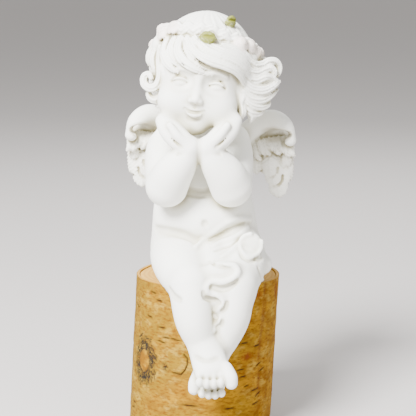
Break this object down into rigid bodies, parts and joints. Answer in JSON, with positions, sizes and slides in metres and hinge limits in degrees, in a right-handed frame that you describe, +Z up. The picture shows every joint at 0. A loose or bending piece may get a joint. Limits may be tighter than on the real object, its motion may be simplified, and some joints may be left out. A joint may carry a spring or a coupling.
{
  "type": "seated cherub figurine on a birch log",
  "caption": "Cast winged cherub that sits on the rim of an upright birch log, chin in its hands, with a rose wreath and a draped cloth.",
  "frame": {"origin": "centre of the log's flat underside", "axes": "+Z up along the log, the figure faces -Y, +X is to the right of a viewer who faces the figure"},
  "size_m": [0.1284, 0.1506, 0.3111],
  "materials": {
    "cast_stone": "matt off-white cast stone, with leaf-green and pale rose paint on the wreath",
    "birch_wood": "ochre birch bark with dark pores, pale sawn wood at both ends"
  },
  "bodies": {
    "root": {"cherub_figure": "cast_stone", "birch_log": "birch_wood"}
  },
  "joints": []
}
